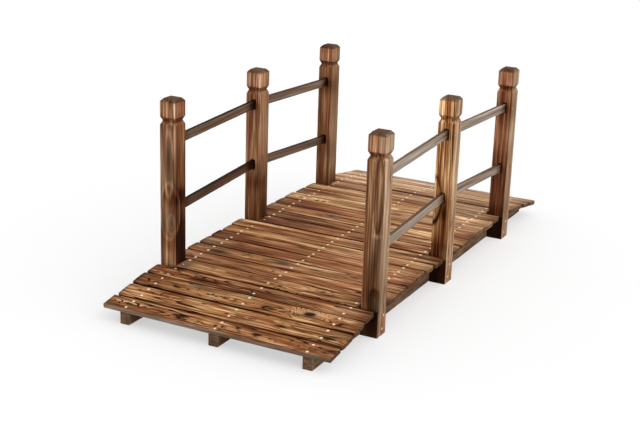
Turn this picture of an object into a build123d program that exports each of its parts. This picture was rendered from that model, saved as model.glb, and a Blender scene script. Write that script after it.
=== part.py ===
"""Low garden footbridge of sawn softwood.

Three stringers lie on the ground along the bridge. Twenty-three cross boards are nailed to their
crowned top edges and ramp down at both ends. Six posts stand outside the outer stringers, three on
each side, and two rows of thin rails run from post to post in loose mortises, a little higher at
the middle posts than at the end ones.

Units are millimetres. +X runs along the bridge, +Y to its left and +Z up. The origin is on the
ground, in the middle of the bridge.
"""
from build123d import *
from math import hypot, sqrt
import os

os.makedirs("parts", exist_ok=True)

# ---- deck boards: (width, gap to the next board), from the near end to the far end ----
deck_boards = [
    (54, 5), (63, 5), (61, 2), (57, 6), (63, 3), (66, 6), (57, 5), (62, 4),
    (56, 4), (54, 4), (62, 7), (62, 5), (51, 7), (64, 4), (60, 7), (65, 3),
    (63, 6), (60, 4), (63, 9), (59, 4), (69, 7), (60, 4), (58, 0),
]
board_thickness = 12.5
board_length = 673.0
board_edge_radius = 1.5           # worn top edges
bridge_length = sum(width + gap for width, gap in deck_boards)
near_end = -bridge_length / 2

# ---- stringers ----
stringer_thickness = 28.0
stringer_setback = 2.0            # the stringers end this far behind the first and last boards
end_height = 33.5                 # stringer height under the edge of the first board
ramp_height = 63.5                # where the steep ramp eases off
shoulder_height = 69.0            # where the ramp meets the crowned middle
crown_height = 74.5               # at mid span
ramp_top = 561.0                  # distance of that point from mid span
shoulder = 500.0                  # and of the shoulder

# ---- posts ----
post_width = 50.0
post_height = 545.0
post_inner_face = 284.0           # distance from the centre line to the posts' inner faces
near_post, middle_post, far_post = -461.0, -6.0, 461.0
neck_width = 38.6                 # at the bottom of the V-groove under the head
groove_bottom, groove_middle, groove_top = 473.0, 484.0, 495.0
head_top, head_top_width = 537.0, 35.0

# ---- rails and the mortises that hold them ----
rail_thickness = 12.0
rail_height = 25.0
rail_edge_radius = 1.0
rail_insertion = 20.0             # how far each end goes into its post
mortise_width = 17.0
mortise_height = 32.0
mortise_depth = 26.0              # blind in the end posts, right through the middle ones
rail_levels = {                   # centre height at the end posts and at the middle posts
    "upper": (424.0, 441.0),
    "lower": (231.0, 256.0),
}

post_centre = post_inner_face + post_width / 2
stringer_centre = post_inner_face - stringer_thickness / 2
sides = {"left": 1, "right": -1}
rows = {"near": near_post, "middle": middle_post, "far": far_post}


def save(builder, name):
    """Label a finished piece and write its STEP file."""
    builder.part.label = name
    export_step(builder.part, f"parts/{name}.step")
    print(f"{name}: {builder.part.volume / 1000:.0f} cm3")


# ---- stringers: flat on the ground, crowned on top ----
# The crown is an arc through the two shoulders and the top, and the boards lie tangent to it.
crown_rise = crown_height - shoulder_height
crown_radius = (shoulder**2 + crown_rise**2) / (2 * crown_rise)
crown_centre_height = crown_height - crown_radius
ramp_slope = (ramp_height - end_height) / (bridge_length / 2 - ramp_top)
stringer_end = bridge_length / 2 - stringer_setback
stringer_end_height = end_height + ramp_slope * stringer_setback

for name, y in (("left", stringer_centre), ("centre", 0), ("right", -stringer_centre)):
    with BuildPart() as stringer:
        with BuildSketch(Plane.XZ.offset(-y)) as side_view:
            with BuildLine():
                Polyline(
                    (shoulder, shoulder_height),
                    (ramp_top, ramp_height),
                    (stringer_end, stringer_end_height),
                    (stringer_end, 0),
                    (-stringer_end, 0),
                    (-stringer_end, stringer_end_height),
                    (-ramp_top, ramp_height),
                    (-shoulder, shoulder_height),
                )
                ThreePointArc((-shoulder, shoulder_height), (0, crown_height), (shoulder, shoulder_height))
            make_face()
        extrude(amount=stringer_thickness / 2, both=True)
    save(stringer, f"{name}_stringer")


# ---- deck boards ----
def seat_plane(start, end):
    """Plane on the stringers' top edges under a board that reaches from start to end along X."""
    middle = (start + end) / 2
    distance = abs(middle)
    if distance < shoulder:
        drop = sqrt(crown_radius**2 - middle**2)
        height = crown_centre_height + drop
        slope = -middle / drop
    elif distance < ramp_top:
        slope = (ramp_height - shoulder_height) / (ramp_top - shoulder)
        height = shoulder_height + slope * (distance - shoulder)
    else:
        slope = -ramp_slope
        height = ramp_height + slope * (distance - ramp_top)
    if distance >= shoulder and middle < 0:
        slope = -slope
    return Plane(origin=(middle, 0, height), x_dir=(1, 0, slope), z_dir=(-slope, 0, 1))


start = near_end
for number, (width, gap) in enumerate(deck_boards, start=1):
    end = start + width
    beside_post = any(start < x < end for x in rows.values())
    length = 2 * post_inner_face if beside_post else board_length
    with BuildPart(seat_plane(start, end)) as board:
        Box(width, length, board_thickness, align=(Align.CENTER, Align.CENTER, Align.MIN))
        top_edges = board.edges().filter_by(Axis.Y).sort_by(Axis.Z)[-2:]
        fillet(top_edges, radius=board_edge_radius)
    save(board, f"deck_board_{number:02d}")
    start = end + gap

# ---- posts: square, with a grooved and bevelled head ----
post_sections = [
    (0, post_width),
    (groove_bottom, post_width),
    (groove_middle, neck_width),
    (groove_top, post_width),
    (head_top, post_width),
    (post_height, head_top_width),
]

for row, x in rows.items():
    for side, sign in sides.items():
        with BuildPart() as post:
            for height, width in post_sections:
                with BuildSketch(Plane((x, sign * post_centre, height))):
                    Rectangle(width, width)
            loft(ruled=True)
            for end_level, middle_level in rail_levels.values():
                if row == "middle":
                    level, depth, centre = middle_level, post_width, x
                else:
                    towards_middle = -1 if x > 0 else 1
                    level, depth = end_level, mortise_depth
                    centre = x + towards_middle * (post_width - mortise_depth) / 2
                with Locations((centre, sign * post_centre, level)):
                    Box(depth, mortise_width, mortise_height, mode=Mode.SUBTRACT)
        save(post, f"{side}_{row}_post")

# ---- rails: each lies against the mortises' walls on its left ----
rail_offset = (mortise_width - rail_thickness) / 2

for level_name, (end_level, middle_level) in rail_levels.items():
    for bay, end_x, middle_x in (
        ("near", near_post + post_width / 2, middle_post - post_width / 2),
        ("far", far_post - post_width / 2, middle_post + post_width / 2),
    ):
        run, rise = abs(middle_x - end_x), middle_level - end_level
        slope = rise / (middle_x - end_x)
        for side, sign in sides.items():
            centre = (
                (end_x + middle_x) / 2,
                sign * post_centre + rail_offset,
                (end_level + middle_level) / 2,
            )
            with BuildPart(Plane(origin=centre, x_dir=(1, 0, slope), z_dir=(-slope, 0, 1))) as rail:
                Box(hypot(run, rise) + 2 * rail_insertion, rail_thickness, rail_height)
                long_edges = rail.edges().sort_by(SortBy.LENGTH)[-4:]
                fillet(long_edges, radius=rail_edge_radius)
            save(rail, f"{side}_{bay}_{level_name}_rail")

print(f"{len(deck_boards)} boards over {bridge_length:.0f} mm, posts {post_height:.0f} mm high")
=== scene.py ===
# %% [markdown]
# # A low garden footbridge of scorched fir
# The bridge is about a metre and a half long. Its deck boards, posts and rails are sawn fir that
# was passed under a flame and brushed, so the soft early wood is golden brown and the hard late
# wood stands as dark lines. The CAD pieces could be painted as they are, but they are too coarse to
# look worn and have no grain. So each timber is built again in its place, as a fine mesh that knows
# where it was cut from the log, and one kind of material paints them all.

# %% Load the frame
import math
import bmesh
import bpy
import numpy as np
from mathutils import Matrix


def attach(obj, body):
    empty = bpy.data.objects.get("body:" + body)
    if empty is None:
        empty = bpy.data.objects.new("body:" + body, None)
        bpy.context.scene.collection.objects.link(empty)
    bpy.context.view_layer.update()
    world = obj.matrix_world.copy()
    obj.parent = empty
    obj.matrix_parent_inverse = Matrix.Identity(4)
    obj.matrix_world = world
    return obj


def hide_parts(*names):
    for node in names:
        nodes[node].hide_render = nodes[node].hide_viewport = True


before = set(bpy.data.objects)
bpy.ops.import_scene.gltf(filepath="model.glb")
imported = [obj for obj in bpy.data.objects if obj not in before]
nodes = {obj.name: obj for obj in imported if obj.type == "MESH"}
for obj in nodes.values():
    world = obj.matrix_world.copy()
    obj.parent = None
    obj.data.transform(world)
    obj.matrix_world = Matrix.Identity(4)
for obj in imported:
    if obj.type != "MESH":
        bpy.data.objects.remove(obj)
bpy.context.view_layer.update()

# %% [markdown]
# ## Camera
# The camera stands two and a half metres short of the near end, to the right, well above the posts,
# with a long lens. Its direction is a yaw about Z, then a pitch down, then a slight roll. A Track To
# constraint could aim it, but would lose the roll, so its three axes are worked out from the angles.

# %% Camera
CAMERA_PLACE = (-3.3555, -1.6227, 1.3616)
CAMERA_YAW, CAMERA_PITCH, CAMERA_ROLL = (math.radians(angle) for angle in (27.04, 18.35, 1.87))
LENS_MM, SENSOR_MM = 74.4, 36.0


def camera_axes(yaw, pitch, roll):
    """Columns right, up and back: look along yaw and pitch, then turn right and up by the roll."""
    ahead = np.array([math.cos(yaw) * math.cos(pitch), math.sin(yaw) * math.cos(pitch), -math.sin(pitch)])
    right = np.array([math.sin(yaw), -math.cos(yaw), 0.0])
    up = np.cross(right, ahead)
    rolled_right = math.cos(roll) * right + math.sin(roll) * up
    rolled_up = math.cos(roll) * up - math.sin(roll) * right
    return np.column_stack([rolled_right, rolled_up, -ahead])


pose = np.eye(4)
pose[:3, :3] = camera_axes(CAMERA_YAW, CAMERA_PITCH, CAMERA_ROLL)
pose[:3, 3] = CAMERA_PLACE
camera = bpy.data.objects.new("camera", bpy.data.cameras.new("camera"))
camera.data.lens = LENS_MM
camera.data.sensor_width = SENSOR_MM
camera.data.sensor_fit = "HORIZONTAL"
camera.matrix_world = Matrix(pose.tolist())
bpy.context.scene.collection.objects.link(camera)
bpy.context.scene.camera = camera
print("camera at", CAMERA_PLACE)

# %% [markdown]
# ## Helpers
# Colours are written as sRGB hex, the way a colour picker gives them, and Blender wants linear
# light. Nodes could be joined one line at a time, but a long material is easier to follow when one
# small function adds a node and links it: settings are the node's own properties, and inputs are
# either plain values or sockets of other nodes.

# %% Colour and node helpers
MM = 0.001


def linear(hex_colour):
    """sRGB hex to linear: v / 12.92 below 0.04045, else ((v + 0.055) / 1.055) to the power 2.4."""
    v = np.array([int(hex_colour[i:i + 2], 16) for i in (1, 3, 5)]) / 255
    return (*np.where(v <= 0.04045, v / 12.92, ((v + 0.055) / 1.055) ** 2.4), 1.0)


def add(tree, kind, inputs=(), **settings):
    """Add one node: set its properties, then fill its inputs or join them to sockets."""
    made = tree.nodes.new(kind)
    for key, value in settings.items():
        setattr(made, key, value)
    for socket, value in dict(inputs).items():
        if isinstance(value, bpy.types.NodeSocket):
            tree.links.new(value, made.inputs[socket])
        else:
            made.inputs[socket].default_value = value
    return made


def new_material(name):
    """An empty node material."""
    material = bpy.data.materials.new(name)
    material.use_nodes = True
    material.node_tree.nodes.clear()
    return material


print("mid grey is", round(float(linear("#808080")[0]), 3), "in linear light")

# %% [markdown]
# ## Where each timber lies
# A timber has its own three axes: g along the grain, a across it, and h out of its best face. For a
# deck board g is the bridge's Y and h is the slope's normal, for a rail g runs up the slope, and for
# a post g is up and h looks out of the near face. All shapes below are worked out in these axes, in
# millimetres, and turned into the bridge's frame at the very end. Places and sizes are read from the
# CAD nodes, so that a new piece always fills the space of the one it replaces.

# %% Timber axes from the CAD nodes
UPWARD = 0.8                    # a face looks up when its normal has this much of Z


def node_arrays(name):
    """Vertices, face normals and face areas of a CAD node."""
    mesh = nodes[name].data
    points = np.empty(len(mesh.vertices) * 3, np.float32)
    mesh.vertices.foreach_get("co", points)
    normals = np.empty(len(mesh.polygons) * 3, np.float32)
    mesh.polygons.foreach_get("normal", normals)
    areas = np.empty(len(mesh.polygons), np.float32)
    mesh.polygons.foreach_get("area", areas)
    return points.reshape(-1, 3).astype(float), normals.reshape(-1, 3).astype(float), areas.astype(float)


def timber_lie(name, kind):
    """Middle and axes (rows g, a, h) in the bridge's frame, and sizes along them in millimetres.

    The top's normal is the area-weighted mean of the faces that look upwards, because a worn top
    edge adds as much on one side as on the other."""
    points, normals, areas = node_arrays(name)
    if kind == "post":
        axes = np.array([[0, 0, 1], [0, 1, 0], [-1, 0, 0]], float)
    else:
        upward = normals[:, 2] > UPWARD
        up = (normals[upward] * areas[upward, None]).sum(0) * (1, 0, 1)
        up = np.array([0, 0, 1]) if kind == "stringer" else up / np.linalg.norm(up)
        along_bridge = np.array([up[2], 0, -up[0]])
        leftward = np.array([0, 1, 0])
        axes = np.array([leftward, along_bridge, up] if kind == "board" else [along_bridge, leftward, up])
    spans = points @ axes.T
    low, high = spans.min(0), spans.max(0)
    return {"middle": (low + high) / 2 @ axes, "axes": axes, "size": (high - low) / MM}


boards = [f"deck_board_{number:02d}" for number in range(1, 24)]
posts = [f"{side}_{row}_post" for row in ("near", "middle", "far") for side in ("left", "right")]
rails = [name for name in sorted(nodes) if name.endswith("_rail")]
stringers = [name for name in sorted(nodes) if name.endswith("_stringer")]
print(len(boards), "boards,", len(posts), "posts,", len(rails), "rails,", len(stringers), "stringers")
print("first board", timber_lie(boards[0], "board")["size"].round(1))

# %% [markdown]
# ## A bar as a profile carried along a path
# Every timber is one closed surface of two parameters: round the section, and along the grain. The
# section is a rectangle whose corners are quarter circles, as a sander leaves them. At both ends the
# section shrinks: over a short quarter circle for the worn end, then flat to the middle to close it.
# A cube with a Bevel modifier has the same outline, but too few points to carry wear and grain.

# %% Outline and stations
def fill(stops, spacing):
    """Values from the first stop to the last, evenly spaced between neighbours, about spacing apart."""
    stops = np.asarray(stops, float)
    parts = [
        np.linspace(low, high, max(1, round((high - low) / spacing)), endpoint=False)
        for low, high in zip(stops[:-1], stops[1:])
    ]
    return np.concatenate([*parts, stops[-1:]])


def outline(width, height, arris, spacing, splits=()):
    """Section points (a, h), once round and back to the first.

    Four flats joined by quarter circles of radius arris; splits are extra stops on the flats that
    face plus and minus h."""
    half_a, half_h = width / 2 - arris, height / 2 - arris
    flat = fill(sorted({-half_a, half_a, *splits}), spacing)
    side = fill([-half_h, half_h], spacing)
    turn = np.radians([30, 60])
    corner = arris * np.column_stack([np.sin(turn), -np.cos(turn)])
    quarters = []
    for quarter, (run, reach) in enumerate([(flat, height / 2), (side, width / 2)] * 2):
        flat_points = np.column_stack([run, np.full(len(run), -reach)])
        across, out = (half_a, half_h) if quarter % 2 == 0 else (half_h, half_a)
        rounded = corner + (across, -out)
        angle = quarter * math.pi / 2
        turned = np.array([[math.cos(angle), math.sin(angle)], [-math.sin(angle), math.cos(angle)]])
        quarters.append(np.vstack([flat_points, rounded]) @ turned)
    ring = np.vstack(quarters)
    return np.vstack([ring, ring[:1]])


def end_stations(arris, depth, spacing):
    """(distance from the end, inset) from the middle of the end face outwards to the full section.

    Flat from inset depth to arris, then a quarter circle: distance arris (1 - cos t), inset
    arris (1 - sin t)."""
    flat = fill([arris, depth], spacing)[::-1]
    turn = np.radians([30, 60, 90])
    distance = np.concatenate([np.zeros(len(flat)), arris * (1 - np.cos(turn))])
    inset = np.concatenate([flat, arris * (1 - np.sin(turn))])
    return distance, inset


def grid_faces(rows, columns, offset=0):
    """Quads of a grid of rows by columns points, numbered row by row."""
    index = np.arange(rows * columns).reshape(rows, columns) + offset
    corners = (index[:-1, :-1], index[:-1, 1:], index[1:, 1:], index[1:, :-1])
    return np.stack(corners, -1)


print("board outline", len(outline(60, 12.5, 1.5, 3)), "points")

# %% Welding patches
def weld(points, quads, tolerance=1e-3):
    """Merge points closer than the tolerance. Quads that lost one corner become triangles."""
    keys = np.round(points / tolerance).astype(np.int64)
    _, first, inverse = np.unique(keys, axis=0, return_index=True, return_inverse=True)
    quads = inverse.reshape(-1)[quads]
    same = quads == np.roll(quads, -1, axis=1)
    whole = quads[same.sum(1) == 0]
    pinched = quads[same.sum(1) == 1]
    kept = np.argsort(same[same.sum(1) == 1], axis=1, kind="stable")[:, :3]
    triangles = np.take_along_axis(pinched, np.sort(kept, axis=1), axis=1)
    return points[first], whole, triangles


def join(patches):
    """Several (points, quads) patches as one, with the later ones' indices moved up."""
    counts = np.cumsum([0] + [len(points) for points, _ in patches[:-1]])
    points = np.vstack([points for points, _ in patches])
    quads = np.vstack([quads + count for (_, quads), count in zip(patches, counts)])
    return points, quads


def build_piece(name, points, quads, triangles):
    """A closed mesh object from arrays: points in metres, faces by index, normals outward."""
    mesh = bpy.data.meshes.new(name)
    corners = np.concatenate([quads.ravel(), triangles.ravel()])
    sizes = np.concatenate([np.full(len(quads), 4), np.full(len(triangles), 3)])
    mesh.vertices.add(len(points))
    mesh.vertices.foreach_set("co", points.astype(np.float32).ravel())
    mesh.loops.add(len(corners))
    mesh.loops.foreach_set("vertex_index", corners.astype(np.int32))
    mesh.polygons.add(len(sizes))
    mesh.polygons.foreach_set("loop_start", (np.cumsum(sizes) - sizes).astype(np.int32))
    mesh.update(calc_edges=True)
    shell = bmesh.new()
    shell.from_mesh(mesh)
    bmesh.ops.recalc_face_normals(shell, faces=shell.faces)
    shell.to_mesh(mesh)
    shell.free()
    mesh.shade_smooth()
    piece = bpy.data.objects.new(name, mesh)
    bpy.context.scene.collection.objects.link(piece)
    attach(piece, "root")
    return piece


tile = (np.array([(0, 0, 0), (1, 0, 0), (1, 1, 0), (0, 1, 0)], float), np.array([[0, 1, 2, 3]]))
print("two equal squares weld to", len(weld(*join([tile, tile]))[0]), "points")

# %% [markdown]
# ## The log each timber came from
# A tree is a stack of cones, so a sawn face shows its rings as straight lines where they meet it
# squarely and as long pointed loops where they only graze it. The ring count of a point is its
# distance from the pith over the ring width, plus a slow wander along the trunk. A fleck is a small
# swelling of the rings: where it lifts a grazing ring through the face, a dark diamond shows. A knot
# is the same swelling, much steeper, with a dark core. A flat pattern of wood would repeat from board
# to board and break at the edges. Here all of a timber's figure comes from a few smooth functions of the
# point, so it runs on round the edges, and no two timbers are alike.

# %% Swellings, hoops and ripples
def swelling(points, centre, length, width):
    """exp(-q), where q = (along / length) squared + (sideways distance / width) squared."""
    along, across, out = (points - centre).T
    return np.exp(-(along / length) ** 2 - (across**2 + out**2) / width**2)


def diamond(points, centre, length, width):
    """exp(-0.8 q), where q = |along| / length + sideways distance / width, so q = 1 is a long diamond."""
    along, across, out = np.abs(points - centre).T
    return np.exp(-0.8 * (along / length + np.hypot(across, out) / width))


def hoop(points, centre, length, width, thickness):
    """exp(-((q - 1) / thickness) squared), q = hypot(along / length, sideways / width): an oval line."""
    along, across, out = (points - centre).T
    q = np.hypot(along / length, np.hypot(across, out) / width)
    return np.exp(-((q - 1) / thickness) ** 2)


def ripple(x, wavelengths, rng):
    """Mean of sines of those wavelengths, each with a random phase."""
    phases = rng.uniform(0, 2 * math.pi, len(wavelengths))
    waves = [np.sin(2 * math.pi * x / wavelength + phase) for wavelength, phase in zip(wavelengths, phases)]
    return np.mean(waves, axis=0)


at_its_length = swelling(np.array([(9.0, 0.0, 0.0)]), (0, 0, 0), 9, 3)
print("a swelling falls to", at_its_length[0].round(3), "at its length")

# %% [markdown]
# How a timber was cut and burnt is a small dictionary, its cut. Lengths are in millimetres along
# (g, a, h), and a feature starts with its place (along, across) and its length and width. lay_on
# puts the features on one face, and deep_stains already hold their place (along, across, out).
# - wood: the kind of material, where it isn't the usual one for such timbers
# - tone, burn_and_shade, red, shade: the mean look, more darkening and red for the whole timber, and
#   darkening that goes from the first value at +g to the second at -g, which on the deck boards is
#   partly scorch and partly painted light from the bridge's right
# - pith, lean, ring, wander, lines: where the pith lies under the middle, how it leans along the
#   grain, the ring width, how far the rings wander, and how strong the dark lines are
# - figures, flecks, knots: features that swell the rings, the last two with a dark core
# - stains, hoops: darkening and grey added over a patch, or along an oval line (before its darkening a
#   hoop has its thickness); at the mouths of the rails' mortises the stains are painted shade
# - dashes, streaks: how many random flecks, and how many random licks of the flame
# - faces: darkening, red and grey added on a face, and how much fainter its lines are; on the posts'
#   right faces this is partly painted light and shade
# - bands: darkening and grey added on a face between two places along the grain, over a soft edge;
#   the band at the posts' feet is painted shade under the deck
# - burnt_rim, sooty_ends: burn along the long edges, and soot on the end grain
# - long, coarse: how much longer and coarser the fibres are than in the material's own scale
# - trims, corner_wear: how much is missing at the two ends (+g, -g), and more at their corners
# - right_end: burn over the last few centimetres of a board's right end

# %% Tones, faces and random marks
# How deep the flame went (burn_and_shade), how foxy the brown is (red) and how silvered it is (grey).
TONES = {
    "golden": (0.05, 0.20, 0.00),
    "brown": (0.25, 0.45, 0.02),
    "red": (0.45, 0.60, 0.02),
    "smoky": (0.50, 0.30, 0.12),
    "tan": (-0.25, 0.00, 0.08),
    # The pale tone is partly painted sheen: the far boards that take it are seen at a grazing angle.
    "pale": (-0.25, 0.20, 0.25),
    "rail": (0.00, 0.00, 0.45),
    # The darkest and greyest tone, which the stringers under the deck take.
    "ground": (0.90, 0.00, 0.80),
}
# Faces of a timber by where they look, along its axes (g, a, h). On a board, whose a axis runs along
# the bridge, left is its far side and right its near side.
FACES = {"best": np.array([0, 0, 1]), "right": np.array([0, -1, 0]), "left": np.array([0, 1, 0])}
# Lengths, widths and depths of the random features.
STREAKS = ((30, 100), (4, 11), (-0.45, 0.8))
DASHES = ((10, 26), (1.2, 2.4), (0.6, 0.95))
LICK_LIMITS = (-0.3, 0.8)       # streaks that overlap add up to no more than this
TRUNK_WAVES = (430, 260, 170, 110)
FLAME_WAVES = (150, 61)
FIRST_RING = 0.45               # how far through its year the best face is, over the pith
SHADE_REACH = 200               # the two values of a shade hold from here to the timber's ends
RIM_WIDTH, RIM_FLICKER = 2.5, 0.5       # how wide a burnt edge is, and how much its burn varies
FACING = (0.5, 0.8)
LOOK_LIMITS = (-1, 1.7)         # burn, red and grey stay within these
LOG_REACH = 4                   # each timber's grain is moved by up to this many metres of its own


def lay_on(cut, out):
    """The cut with its features, listed as (along, across, ...), put on the face that far out."""
    laid = dict(cut)
    for key in ("figures", "flecks", "knots", "stains", "hoops"):
        laid[key] = [(along, across, out, *rest) for along, across, *rest in cut.get(key, ())]
    laid["stains"] += cut.get("deep_stains", ())
    return laid


def random_marks(size, rng, count, lengths, widths, depths):
    """Rows (along, across, out, length, width, depth), strewn over the best face with even chances."""
    half_length, half_width, out = size / 2
    return np.column_stack([
        rng.uniform(-half_length, half_length, count),
        rng.uniform(-half_width, half_width, count),
        np.full(count, out),
        rng.uniform(*lengths, count),
        rng.uniform(*widths, count),
        rng.uniform(*depths, count),
    ])


def towards(facing):
    """How far a point belongs to a face: its normal's share of the axis, from 0 to 1 over FACING."""
    return np.interp(facing, FACING, (0, 1))


print(len(TONES), "tones")

# %% Rings
# How much longer and wider than its dark core a swelling is, and how many rings it lifts.
FLECK_SWELLING = (2.2, 2.6, 1.2)
KNOT_SWELLING = (1.6, 1.6, 4.0)
FIGURE_LINES = 1.3              # a figure's lines reach full strength somewhat before its middle


def ring_count(points, size, cut, rng):
    """(Distance from the pith - that of the best face) / ring width, plus the trunk's wander."""
    g, a, h = points.T
    pith_a, pith_h = cut.get("pith", (0.0, -25.0))
    lean_a, lean_h = cut.get("lean", (0.0, 0.0))
    distance = np.hypot(a - pith_a - lean_a * g, h - pith_h - lean_h * g)
    surface = np.hypot(pith_a, size[2] / 2 - pith_h)
    rings = (distance - surface) / cut.get("ring", 5.0) + FIRST_RING
    return rings + cut.get("wander", 0.35) * ripple(g, TRUNK_WAVES, rng)


def swell_rings(points, rings, cut, dashes):
    """Rings lifted by figures, flecks and knots, with the dark cores and the strength of the lines."""
    core = np.zeros(len(rings))
    strength = np.full(len(rings), cut.get("lines", 0.8))
    for along, across, out, length, width, lift in cut.get("figures", ()):
        bulge = swelling(points, (along, across, out), length, width)
        rings = rings + lift * bulge
        strength = np.maximum(strength, np.minimum(1, FIGURE_LINES * bulge))
    longer, wider, lift = FLECK_SWELLING
    for along, across, out, length, width, depth in [*cut.get("flecks", ()), *dashes]:
        bulge = swelling(points, (along, across, out), longer * length, wider * width)
        rings = rings + lift * depth * bulge
        core = np.maximum(core, depth * diamond(points, (along, across, out), length, width))
    longer, wider, lift = KNOT_SWELLING
    for along, across, out, length, width, depth in cut.get("knots", ()):
        bulge = swelling(points, (along, across, out), longer * length, wider * width)
        rings = rings + lift * bulge
        strength = np.maximum(strength, bulge)
        core = np.maximum(core, depth * swelling(points, (along, across, out), length, width))
    return rings, core, strength


print("a face", FIRST_RING, "of the way through its year over the pith")

# %% Scorch and painted shade
def scorch_and_shade(points, cut, streaks):
    """Burn and painted shade, red and grey: the tone and its shade, then stains, licks of flame and hoops.
    """
    g = points[:, 0]
    burn_and_shade, red, grey = (np.full(len(g), value) for value in TONES[cut.get("tone", "brown")])
    shade = cut.get("shade", (0.0, 0.0))
    burn_and_shade = burn_and_shade + cut.get("burn_and_shade", 0.0) + np.interp(g, (-SHADE_REACH, SHADE_REACH), shade[::-1])
    red = red + cut.get("red", 0.0)
    for along, across, out, length, width, dark, dull in cut.get("stains", ()):
        patch = swelling(points, (along, across, out), length, width)
        burn_and_shade = burn_and_shade + dark * patch
        grey = grey + dull * patch
    licked = np.zeros(len(g))
    for along, across, out, length, width, dark in streaks:
        licked = licked + dark * swelling(points, (along, across, out), length, width)
    burn_and_shade = burn_and_shade + np.clip(licked, *LICK_LIMITS)
    for along, across, out, length, width, thickness, dark, dull in cut.get("hoops", ()):
        line = hoop(points, (along, across, out), length, width, thickness)
        burn_and_shade = burn_and_shade + dark * line
        grey = grey + dull * line
    return burn_and_shade, red, grey


def cut_from_log(piece, points, lie, cut, seed):
    """Store on each vertex what the wood material reads, from its unworn place (g, a, h).

    rings: ring count. grain: place in the log in metres. look: burn and painted shade, red and grey.
    mark: dark core, strength of the lines, and how squarely the surface cuts across the grain."""
    rng = np.random.default_rng(seed)
    g, a, h = points.T
    rings = ring_count(points, lie["size"], cut, rng)
    streaks = random_marks(lie["size"], rng, cut.get("streaks", 0), *STREAKS)
    dashes = random_marks(lie["size"], rng, cut.get("dashes", 0), *DASHES)
    rings, core, strength = swell_rings(points, rings, cut, dashes)
    burn_and_shade, red, grey = scorch_and_shade(points, cut, streaks)

    normals = np.empty(len(points) * 3, np.float32)
    piece.data.vertices.foreach_get("normal", normals)
    facing = normals.reshape(-1, 3) @ lie["axes"].T
    turned = {face: towards(facing @ axis) for face, axis in FACES.items()}
    turned["all"] = np.ones(len(g))
    for face, dark, foxy, dull, faint in cut.get("faces", ()):
        burn_and_shade = burn_and_shade + dark * turned[face]
        red = red + foxy * turned[face]
        grey = grey + dull * turned[face]
        strength = strength * (1 - faint * turned[face])
    for face, low, high, soft, dark, dull in cut.get("bands", ()):
        inside = np.clip((g - low) / soft + 0.5, 0, 1) * np.clip((high - g) / soft + 0.5, 0, 1)
        burn_and_shade = burn_and_shade + dark * turned[face] * inside
        grey = grey + dull * turned[face] * inside
    rim = np.clip((np.abs(a) - lie["size"][1] / 2 + RIM_WIDTH) / RIM_WIDTH, 0, 1)
    burn_and_shade = burn_and_shade + cut.get("burnt_rim", 0.0) * rim * (1 + RIM_FLICKER * ripple(g, FLAME_WAVES, rng))
    end = towards(np.abs(facing[:, 0]))
    grain = np.column_stack([a, h, g / cut.get("long", 1.0)]) * MM / cut.get("coarse", 1.0)
    attributes = {
        "rings": rings,
        "grain": grain + rng.uniform(-LOG_REACH, LOG_REACH, 3),
        "look": np.clip(np.column_stack([burn_and_shade, red, grey]), *LOOK_LIMITS),
        "mark": np.column_stack([core, strength, end * cut.get("sooty_ends", 0.3)]),
    }
    for key, values in attributes.items():
        kind, field = ("FLOAT", "value") if values.ndim == 1 else ("FLOAT_VECTOR", "vector")
        layer = piece.data.attributes.new(key, kind, "POINT")
        layer.data.foreach_set(field, values.astype(np.float32).ravel())


print("a vertex holds its rings, grain, look and marks")

# %% [markdown]
# ## Scorched and brushed fir
# The flame darkens the hard late wood most, and the wire brush then takes out the soft early wood,
# so every ring ends in a thin dark ridge. The material counts rings from the timber's own
# attribute, roughens them with noise that is stretched along the grain, and looks up how far
# through its year each point is. A Wave texture could draw such lines too, but they wouldn't bend
# round a knot. Fibres and blotches of scorch come from the same log coordinates.
# Each noise lies about 0.5, so a swing s turns it into a factor of 1 - s / 2 to 1 + s / 2. The pink
# is added instead, so its swing gives -s / 2 to s / 2.

# %% Sizes in the wood
RIDGE_HEIGHT = 0.35 * MM        # how proud the late wood stands of the brushed early wood
FIBRE_WIDTH, FIBRE_LENGTH = 2.5 * MM, 24 * MM    # real fibres are ten times finer and would not show
STREAK_WIDTH, STREAK_LENGTH = 4.5 * MM, 38 * MM  # bundles of rings that took the flame alike
WAVER_WIDTH, WAVER_LENGTH = 20 * MM, 90 * MM     # how far apart neighbouring stretches of a ring swing
BLOTCH_WIDTH, BLOTCH_LENGTH = 26 * MM, 130 * MM  # a pass of the flame
WASH_WIDTH, WASH_LENGTH = 14 * MM, 50 * MM       # pink heartwood against golden sapwood
# How much late wood there is (second value) this far through a year (first value).
LATE_WOOD = ((0.0, 1.0), (0.04, 0.0), (0.50, 0.05), (0.76, 0.28), (0.86, 1.0), (1.0, 1.0))
BUNDLE_STOPS = (0.36, 0.45, 0.54, 0.65)          # where along the bundle noise the four shades lie
PINK_SWING, HAIR_SWING, WASH_SWING, BLOTCH_SWING = 2.4, 0.4, -0.9, 1.1  # pinker wood is darker too
STRONG_LINES, FAINT_LINES = 1.3, 0.5    # where the flame stayed, and where it passed lightly
BITE = (0.38, 0.58)             # between these values of the blotches one turns into the other
FRAY = 0.15                     # rings that a bundle runs ahead of its neighbours
BURN_AND_SHADE_DEPTH = 0.55               # share of the light that a burn of 1 takes away
SCORCH_GREEN, SCORCH_BLUE = 1.3, 1.6    # scorched wood loses its blue first, then its green
LIGHTEST = 1.35                 # how much lighter than its mean any streak can be
RAGGED_BUNDLE, RAGGED_FIBRE = 0.8, 0.5  # how ragged bundles and fibres make the edge of a dark core
CHAR_FROM, CHAR_TO, CHAR_DEPTH = 1.03, 1.17, 0.95    # the soft edge of a core, and how black it is
MATHS, BLEND = "ShaderNodeMath", "ShaderNodeMix"     # the two kinds of node that are used most


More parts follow.
